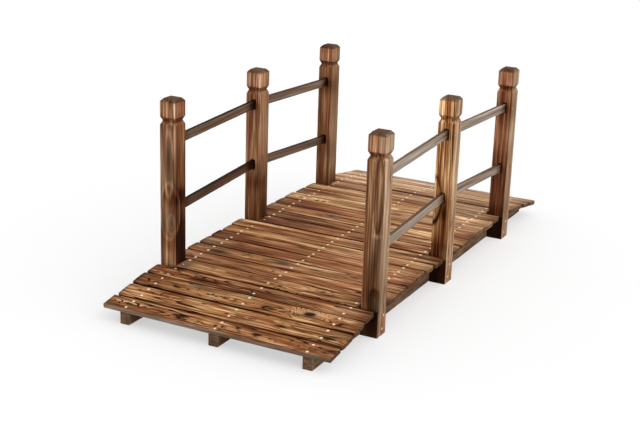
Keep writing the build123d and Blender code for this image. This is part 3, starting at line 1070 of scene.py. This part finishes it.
# %% The cuts of the posts
# Features are (height, left, ...): millimetres above the ground and towards the bridge's left, on the
# near face. Deep stains with a left of -25 are on the right face, and those with 0 go right round.
# Heads are darkest on their end grain and in the groove, the wood between is the brightest of all,
# and the near faces of the feet carry painted shade up to the deck, which shades them.
HEAD_BANDS_AND_FOOT_SHADE = [
    ("all", 480, 494, 2, 0.7, 0.0), ("best", 495, 536, 2, -0.6, 0.0), ("all", 536.5, 560, 2, 0.6, 0.5),
    # Painted shade on the near face of each foot, below the deck.
    ("best", -5, 73, 2, 1.0, 0.5),
]
post_cuts = {
    "right_near": {
        "tone": "brown", "burn_and_shade": 0.05, "pith": (60, -10), "ring": 6.0, "lines": 0.6, "coarse": 1.3,
        "hoops": [
            (384, -12, 96, 13, 0.1, 0.8, 0.2), (384, -12, 78, 9, 0.12, 0.45, 0.1),
            (380, -12, 106, 17, 0.04, -0.6, 0.0), (95, -12, 36, 16, 0.2, 0.5, 0.3),
            (95, -12, 24, 9, 0.25, 0.3, 0.3),
        ],
        "stains": [
            (205, -9, 62, 12, 0.9, 0.8), (277, -12, 6, 12, -0.9, 0.0), (110, 0, 60, 60, 0.6, 0.0),
            (85, -12, 36, 14, 0.5, 0.9), (390, -12, 80, 9, 0.25, 0.2), (520, -18, 30, 9, 0.3, 0.4),
            (515, 5, 22, 60, -0.4, 0.0),
        ],
        "deep_stains": [
            (20, -25, 0, 30, 30, 0.5, -0.2), (210, -25, 0, 70, 25, 0.0, 0.25),
            (95, -25, 0, 40, 20, -0.5, 0.2),
        ],
        # Paler, greyer right face: partly the wood's own colour, partly painted light and sheen from the
        # right.
        "faces": [("right", -0.5, -0.1, 0.4, 0.2)],
        "bands": HEAD_BANDS_AND_FOOT_SHADE,
    },
    "right_middle": {
        "wood": "deck_wood", "tone": "golden", "burn_and_shade": -0.2, "pith": (-75, 10), "lean": (0.02, 0.0),
        "ring": 6.5, "lines": 0.7,
        "figures": [(248, 28, 85, 26, 5.0)],
        "hoops": [(248, 25, 68, 23, 0.13, 1.6, 0.0)],
        "stains": [
            (185, 24, 16, 16, 0.6, 0.0), (205, 5, 25, 20, 0.4, 0.0), (190, -10, 60, 13, 1.3, 0.0),
            (240, -8, 40, 12, 0.9, 0.0), (150, 16, 30, 8, -0.5, 0.0), (150, -1, 40, 2, -0.9, 0.0),
            (340, 0, 70, 60, -0.4, 0.0), (430, 0, 40, 40, 0.3, 0.0),
        ],
        "deep_stains": [(15, -25, 0, 40, 30, 0.4, 0.0), (515, -25, 0, 22, 24, 0.4, 0.0)],
        # Greyer, less red right face: partly the wood's own colour, partly painted sheen from the right.
        "faces": [("right", 0.05, -0.4, 0.45, 0.5)],
        "bands": [*HEAD_BANDS_AND_FOOT_SHADE, ("best", -10, 150, 70, 1.4, 0.0)],
    },
    "right_far": {
        "tone": "red", "red": 0.2, "pith": (60, 0), "ring": 4.5, "lines": 0.4,
        "stains": [
            (90, 0, 25, 60, 0.3, 0.0), (280, 0, 30, 60, 0.3, 0.0), (345, 0, 40, 60, -0.4, 0.0),
            (420, 0, 35, 60, 0.5, 0.0), (515, -13, 30, 2, 1.0, 0.3),
        ],
        # Paler, greyer right face: partly the wood's own colour, partly painted light and sheen from the
        # right.
        "faces": [("right", -0.5, -0.5, 0.55, 0.6)],
        "bands": [*HEAD_BANDS_AND_FOOT_SHADE, ("best", -10, 260, 70, 0.8, 0.0)],
    },
    "left_near": {
        "tone": "brown", "burn_and_shade": 0.2, "pith": (0, -60), "ring": 6.0, "lines": 0.35, "coarse": 1.3,
        "hoops": [
            (365, -3, 90, 15, 0.14, -1.0, 0.0), (195, -11, 27, 12, 0.2, -0.6, 0.2),
            (198, -12, 13, 6, 0.3, -0.5, 0.2), (232, -4, 80, 29, 0.08, -0.6, 0.0),
        ],
        "stains": [
            (395, -3, 50, 7, 0.9, 0.9), (330, -4, 60, 14, 0.25, 0.8), (275, -4, 26, 60, 0.8, -0.5),
            (220, -4, 50, 20, -0.2, 0.5), (40, 0, 50, 60, -0.6, 0.0), (110, 5, 30, 24, -0.8, -0.2),
            (128, -3, 14, 6, 0.6, 0.2), (435, 0, 40, 30, -0.6, 0.0), (515, 0, 22, 60, -0.9, 0.0),
            (530, -8, 26, 4, 1.3, 0.3),
        ],
        "deep_stains": [(110, -25, 0, 140, 36, 1.1, 0.0), (430, -25, 0, 60, 30, -0.4, 0.0)],
        # Darker right face: painted shade, as this face looks into the bridge.
        "faces": [("right", 0.55, 0.1, 0.0, 0.0)],
        "bands": HEAD_BANDS_AND_FOOT_SHADE,
    },
    "left_middle": {
        "tone": "brown", "pith": (50, 10), "ring": 5.0, "lines": 0.55,
        "stains": [
            (300, -14, 300, 4, 0.7, 0.0), (370, 0, 90, 40, -0.35, 0.0), (515, 0, 22, 60, -0.6, 0.0),
            (205, 0, 28, 60, 0.6, 0.0), (10, 0, 25, 60, 0.5, 0.0),
        ],
        "deep_stains": [
            (50, 0, 0, 70, 60, 0.9, 0.0), (140, -25, 0, 90, 30, 0.8, 0.0),
            (515, -25, 0, 22, 24, 0.4, 0.0),
        ],
        # Darker, greyer right face: the darkening is painted shade, as this face looks into the bridge.
        "faces": [("right", 0.2, 0.0, 0.3, 0.4)],
        "bands": HEAD_BANDS_AND_FOOT_SHADE,
    },
    "left_far": {
        "tone": "brown", "burn_and_shade": 0.45, "pith": (60, 20), "ring": 4.0, "lines": 0.6,
        "stains": [
            (415, 0, 30, 60, 0.6, 0.0), (515, 0, 22, 60, -0.4, 0.0), (200, 0, 40, 60, 0.35, 0.0),
        ],
        "deep_stains": [(50, 0, 0, 70, 60, 0.5, 0.0), (90, -25, 0, 40, 30, 0.4, 0.0)],
        "faces": [("right", -0.1, 0.0, 0.5, 0.6)],
        "bands": HEAD_BANDS_AND_FOOT_SHADE,
    },
}
print(len(post_cuts), "posts")

# %% Posts
POST_WEAR = 0.15                # millimetres gone from each face on average, in slow waves
SIDE_WAVES, FRONT_WAVES = (310, 140, 67), (270, 120, 59)


def wear_post(points, rng):
    """Faces move in by up to twice POST_WEAR in slow waves, so the edges aren't quite straight."""
    g, a, h = points.T
    in_a = POST_WEAR * (1 + ripple(g, SIDE_WAVES, rng))
    in_h = POST_WEAR * (1 + ripple(g, FRONT_WAVES, rng))
    return np.column_stack([g, a * (1 - in_a / POST_HALF), h * (1 - in_h / POST_HALF)])


for number, node in enumerate(posts):
    side, row, _ = node.split("_")
    lie = timber_lie(node, "post")
    lie["middle"] = lie["middle"] * (1, 1, 0)
    points, quads, triangles = weld(*post_surface(**post_sizes(node)))
    seed = SEEDS["post"] + number
    worn = wear_post(points, np.random.default_rng(seed))
    piece = build_piece(f"{side}_{row}_newel", place(worn, lie), quads, triangles)
    cut = {"long": 4, "wood": "post_wood", **post_cuts[f"{side}_{row}"]}
    cut_from_log(piece, points, lie, lay_on(cut, POST_HALF), seed)
    piece.data.materials.append(wood[cut["wood"]])
    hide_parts(node)
print("post", len(piece.data.polygons), "faces")

# %% [markdown]
# ## Stringers
# Three planks on edge carry the boards. Their undersides lie flat and their tops follow the crown of
# the deck. A Curve modifier would bend both edges, so a straight bar's height is scaled instead, all
# along the way, by the top edge of the CAD plank.

# %% Stringers
STRINGER_ARRIS, STRINGER_MESH, STRINGER_TRIM = 1.2, 7.0, 0.5


def top_edge(node):
    """Distances along the bridge and heights of a stringer's top edge, in millimetres."""
    points, _, _ = node_arrays(node)
    upper = np.unique((points[points[:, 2] > 0.01][:, [0, 2]] / MM).round(3), axis=0)
    return upper[:, 0], upper[:, 1]


# The stringers take the darkest, greyest tone.
stringer_cut = {
    "tone": "ground", "burn_and_shade": 0.1, "pith": (30, -60), "ring": 5.0, "lines": 0.6,
    "stains": [(-750, 0, 0, 12, 60, -0.55, -0.2)],
    "faces": [("right", -0.3, 0.0, 0.0, 0.0)],
}
for number, node in enumerate(stringers):
    lie = timber_lie(node, "stringer")
    size = lie["size"]
    along, top = top_edge(node)
    points, quads, triangles = weld(*bar_surface(size, STRINGER_ARRIS, STRINGER_MESH))
    seed = SEEDS["stringer"] + number
    rng = np.random.default_rng(seed)
    worn = wear_bar(points, size, rng, rng.uniform(0, STRINGER_TRIM, 2))
    worn[:, 2] = (worn[:, 2] / size[2] + 0.5) * np.interp(worn[:, 0], along, top) - size[2] / 2
    piece = build_piece(node.replace("stringer", "bearer"), place(worn, lie), quads, triangles)
    cut_from_log(piece, points, lie, stringer_cut, seed)
    piece.data.materials.append(wood["stringer_wood"])
    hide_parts(node)
print("bearer", len(piece.data.polygons), "faces")

# %% [markdown]
# ## Nails and screws
# Bright steel nails with low domed heads hold each board to the three stringers, two to a crossing.
# The dome is a quarter circle turned round its axis, flattened. Each nail could be an object of its
# own, but a hundred and more of them are easier to handle as one mesh with its few faces repeated.

# %% Domed heads
NAIL_RADIUS, NAIL_RISE, NAIL_SUNK = 4.3, 1.0, 0.4
NAIL_ROWS = (268.5, -2.0, -266.7)       # over the three stringers
NAIL_SCATTER = (1.2, 1.0, 0)            # how far a hammered nail strays along and across its board
NAIL_SEED = 7
UNDERSIDE = -1.0                        # a head's flat underside is this far below its rim
NEAR_NAIL_OFFSETS = [
    (-18, 16), (-13, 23), (-13, 20), (-15, 22), (-9, 29),
    (-12, 19), (-12, 22), (-9, 27), (-13, 23), (-10, 21),
]
SPARE_NAIL_OFFSETS = (-13.5, 21.5)      # on the boards beyond those


def dome(radius, rise, sides=10):
    """A closed low dome: radius times sin t and rise times cos t, and a flat underside below it."""
    t = np.radians([0, 35, 65, 90])
    profile = np.column_stack([radius * np.sin(t), rise * np.cos(t)])
    profile = np.vstack([profile, [radius, UNDERSIDE], [0.0, UNDERSIDE]])
    turn = np.linspace(0, 2 * math.pi, sides + 1)
    ring = np.column_stack([np.cos(turn), np.sin(turn)])
    flat = profile[:, 0, None, None] * ring
    out = np.broadcast_to(profile[:, 1, None, None], (*flat.shape[:2], 1))
    grid = np.concatenate([flat, out], axis=2)
    return weld(grid.reshape(-1, 3), grid_faces(*grid.shape[:2]).reshape(-1, 4))


def scatter(shape, places, tilts):
    """Copies of a (points, quads, triangles) shape at places, each turned by its 3 by 3 rows."""
    points, quads, triangles = shape
    copies = np.einsum("pj,njk->npk", points, tilts) + places[:, None, :]
    shift = np.arange(len(places))[:, None, None] * len(points)
    return copies.reshape(-1, 3), (quads + shift).reshape(-1, 4), (triangles + shift).reshape(-1, 3)


rng = np.random.default_rng(NAIL_SEED)
places, tilts = [], []
for number, node in enumerate(boards, start=1):
    lie = timber_lie(node, "board")
    offsets = NEAR_NAIL_OFFSETS[number - 1] if number <= len(NEAR_NAIL_OFFSETS) else SPARE_NAIL_OFFSETS
    local = np.array([(y, a, lie["size"][2] / 2 - NAIL_SUNK) for y in NAIL_ROWS for a in offsets])
    local = local + rng.normal(0, 1, local.shape) * NAIL_SCATTER
    places.append(place(local, lie) / MM)
    axes = lie["axes"][[1, 0, 2]]
    tilts.append(np.repeat(axes[None], len(local), axis=0))
points, quads, triangles = scatter(dome(NAIL_RADIUS, NAIL_RISE), np.vstack(places), np.vstack(tilts))
nails = build_piece("deck_nails", points * MM, quads, triangles)
print(len(np.vstack(places)), "nails")

# %% [markdown]
# Bright drawn steel: a metal, so its colour is that of its reflections, smooth where the hammer
# polished it and a little uneven from the blows. A plain grey would look like paint, and no bump at
# all like a ball bearing, so the tint and the height both follow one fine noise.

# %% Nail steel
POLISHED = "#FFEBCB"
DENT_WIDTH, DENT_DEPTH = 1.5 * MM, 0.1 * MM


def drawn_steel(name, tint):
    """Steel wire struck with a hammer: bright, softly dimpled reflections."""
    material = new_material(name)
    tree = material.node_tree
    where = add(tree, "ShaderNodeTexCoord").outputs["Object"]
    dents = add(tree, "ShaderNodeTexNoise", {"Vector": where, "Scale": 1 / DENT_WIDTH, "Detail": 2.0})
    tints = {0: dents.outputs[0], 6: linear(tint), 7: linear(POLISHED)}
    colour = add(tree, BLEND, tints, data_type="RGBA")
    relief = add(tree, "ShaderNodeBump", {"Height": dents.outputs[0], "Distance": DENT_DEPTH})
    shader = add(tree, "ShaderNodeBsdfPrincipled", {
        "Base Color": colour.outputs[2],
        "Metallic": 1.0,
        "Roughness": 0.35,
        "Normal": relief.outputs[0],
    })
    add(tree, "ShaderNodeOutputMaterial", {0: shader.outputs[0]})
    return material


nails.data.materials.append(drawn_steel("bright_nail_steel", "#FFE2C0"))
print("nail heads", 2 * NAIL_RADIUS, "mm across")

# %% [markdown]
# Each post is screwed to its stringer through the outer face, low down and under the deck, with two
# brassy screws. A dark nail through the outer face at the height of each rail holds the rail's end.

# %% Foot screws and rail nails
SCREW_HEAD, PIN_HEAD = (3.6, 1.0), (2.2, 0.5)   # radius and rise
HEAD_SUNK = 0.3
# For each row: places along the bridge from the post's middle, and heights.
FOOT_SCREWS = {"near": ((3, 19), (10, 55)), "middle": ((-5, 19), (4.5, 54)), "far": ((-6, 20), (2, 54))}
RAIL_NAILS = {
    "near": ((16, 424), (16, 231)),
    "middle": ((-16, 442), (-16, 257), (16, 442), (16, 257)),
    "far": ((-16, 424), (-16, 231)),
}


def outer_heads(name, shape, spots, material):
    """Heads on the posts' outer faces, at (along the bridge, height) spots from each post's middle."""
    places, tilts = [], []
    for row, row_spots in spots.items():
        for hand, side in (("right", -1), ("left", 1)):
            x, y, _ = timber_lie(f"{hand}_{row}_post", "post")["middle"] / MM
            for offset, height in row_spots:
                places.append((x + offset, y + side * (POST_HALF - HEAD_SUNK), height))
                tilts.append([(side, 0, 0), (0, 0, -1), (0, side, 0)])
    points, quads, triangles = scatter(shape, np.array(places, float), np.array(tilts, float))
    piece = build_piece(name, points * MM, quads, triangles)
    piece.data.materials.append(material)


outer_heads("foot_screws", dome(*SCREW_HEAD), FOOT_SCREWS, drawn_steel("brass_plated_steel", "#D9A85C"))
outer_heads("rail_nails", dome(*PIN_HEAD), RAIL_NAILS, drawn_steel("blackened_steel", "#4A3B30"))
print("foot screws and rail nails on", len(posts), "posts")

# %% [markdown]
# ## Floor and studio
# The bridge stands on a white paper sweep. Light that bounces meets a mid grey paper, so it doesn't
# wash out the undersides. Rays from the camera, off gloss or through glass meet a paler one with a
# little glow of its own, so the floor comes out near white and keeps a soft shadow.

# %% Floor
FLOOR_REACH = 14.0
FLOOR_GLOW = 0.52               # light added to the floor that is seen, which softens the shadow
PAPER_BOUNCED, PAPER_SEEN = "#888888", "#B7B7B7"


def plainly_seen(tree):
    """1 for rays from the camera, off gloss or through glass, and 0 for light that bounces softly."""
    path = add(tree, "ShaderNodeLightPath").outputs
    seen = add(tree, MATHS, {0: path["Is Camera Ray"], 1: path["Is Glossy Ray"]}, operation="ADD")
    seen = {0: seen.outputs[0], 1: path["Is Transmission Ray"]}
    return add(tree, MATHS, seen, operation="ADD", use_clamp=True).outputs[0]


floor_mesh = bpy.data.meshes.new("floor")
corners = FLOOR_REACH * np.array([(-1, -1, 0), (1, -1, 0), (1, 1, 0), (-1, 1, 0)], float)
floor_mesh.from_pydata(corners.tolist(), [], [(0, 1, 2, 3)])
floor = bpy.data.objects.new("floor", floor_mesh)
bpy.context.scene.collection.objects.link(floor)
paper = new_material("white_paper_sweep")
tree = paper.node_tree
seen = plainly_seen(tree)
tone = add(tree, BLEND, {0: seen, 6: linear(PAPER_BOUNCED), 7: linear(PAPER_SEEN)}, data_type="RGBA")
matt = add(tree, "ShaderNodeBsdfDiffuse", {"Color": tone.outputs[2]})
strength = add(tree, MATHS, {0: seen, 1: FLOOR_GLOW}, operation="MULTIPLY")
glow = add(tree, "ShaderNodeEmission", {"Color": (1, 1, 1, 1), "Strength": strength.outputs[0]})
shader = add(tree, "ShaderNodeAddShader", {0: matt.outputs[0], 1: glow.outputs[0]})
add(tree, "ShaderNodeOutputMaterial", {0: shader.outputs[0]})
floor_mesh.materials.append(paper)
print("floor", 2 * FLOOR_REACH, "m across")

# %% [markdown]
# All the light comes from the world, as soft as from the walls of a white tent, so nothing has a
# hard shadow. It is a dim dome with bright walls near the horizon and a broad window to the bridge's
# right, so the posts' right faces are brighter than their near faces. The camera sees plain white.

# %% Dome, walls and window
DOME_LIGHT = 0.54
WALL_LIGHT, WALL_FOCUS = 3.3, 4.0       # strongest level with the floor: (1 - height) to that power
WINDOW_LIGHT, WINDOW_FOCUS = 1.2, 3.0   # strongest straight ahead: cosine to that power
WINDOW = (0.0, -0.85, 0.6)
world = bpy.data.worlds.new("studio")
world.use_nodes = True
bpy.context.scene.world = world
tree = world.node_tree
tree.nodes.clear()
seen = plainly_seen(tree)
direction = add(tree, "ShaderNodeTexCoord").outputs["Generated"]
window = np.array(WINDOW) / np.linalg.norm(WINDOW)
glow = add(tree, "ShaderNodeVectorMath", {0: direction, 1: tuple(window)}, operation="DOT_PRODUCT")
glow = add(tree, MATHS, {0: glow.outputs["Value"], 1: 0.0}, operation="MAXIMUM")
glow = add(tree, MATHS, {0: glow.outputs[0], 1: WINDOW_FOCUS}, operation="POWER")
_, _, height = add(tree, "ShaderNodeSeparateXYZ", {0: direction}).outputs
low = add(tree, MATHS, {0: 1.0, 1: height}, operation="SUBTRACT", use_clamp=True)
low = add(tree, MATHS, {0: low.outputs[0], 1: WALL_FOCUS}, operation="POWER")
walls = add(tree, MATHS, {0: low.outputs[0], 1: WALL_LIGHT, 2: DOME_LIGHT}, operation="MULTIPLY_ADD")
light = {0: glow.outputs[0], 1: WINDOW_LIGHT, 2: walls.outputs[0]}
light = add(tree, MATHS, light, operation="MULTIPLY_ADD")
level = add(tree, BLEND, {0: seen, 2: light.outputs[0], 3: 1.0})
sky = add(tree, "ShaderNodeBackground", {"Color": (1, 1, 1, 1), "Strength": level.outputs[0]})
add(tree, "ShaderNodeOutputWorld", {0: sky.outputs[0]})
bpy.context.scene.view_settings.view_transform = "Standard"
print("dome", DOME_LIGHT, "walls", WALL_LIGHT, "window", WINDOW_LIGHT)
